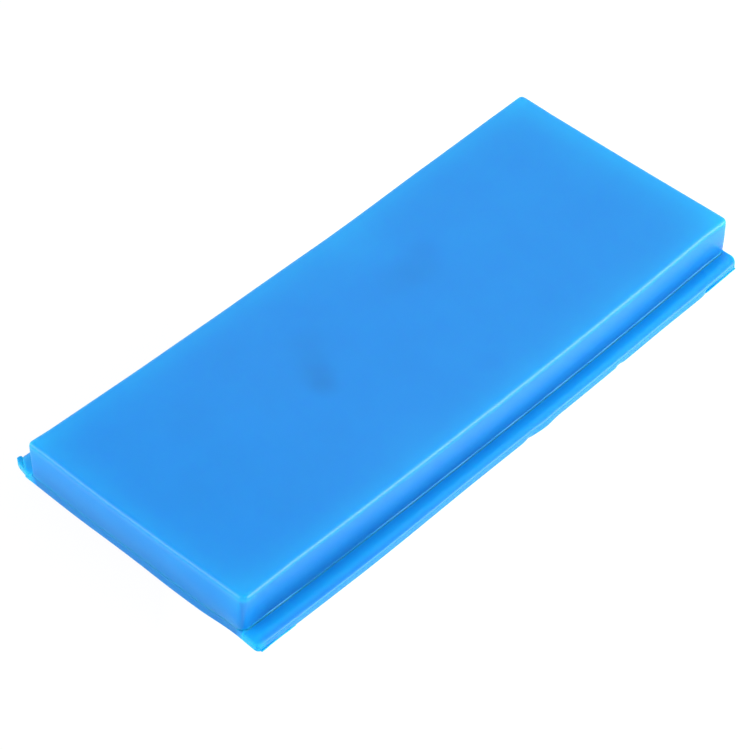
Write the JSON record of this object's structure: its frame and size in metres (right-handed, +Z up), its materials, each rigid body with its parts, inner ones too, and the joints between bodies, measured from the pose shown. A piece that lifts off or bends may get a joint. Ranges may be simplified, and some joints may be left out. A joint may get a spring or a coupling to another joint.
{
  "type": "clay bar",
  "caption": "Flat rectangular bar of translucent blue detailing clay on a thin squeezed-out base sheet, slightly bowed, with ragged flash at the corners.",
  "frame": {"origin": "on the surface the bar rests on, under the middle of its bounding box", "axes": "+X along the bar's length, towards the end that is lifted more; +Y across it, towards the wider ledge of the base sheet; +Z up through its thickness"},
  "size_m": [0.1604, 0.079, 0.0154],
  "materials": {
    "clay": "satin",
    "thin_clay": "satin"
  },
  "bodies": {
    "root": {"clay_block": "clay", "base_sheet": "clay", "left_rear_flash": "thin_clay", "left_front_flash": "thin_clay", "right_front_flash": "thin_clay"}
  },
  "joints": []
}
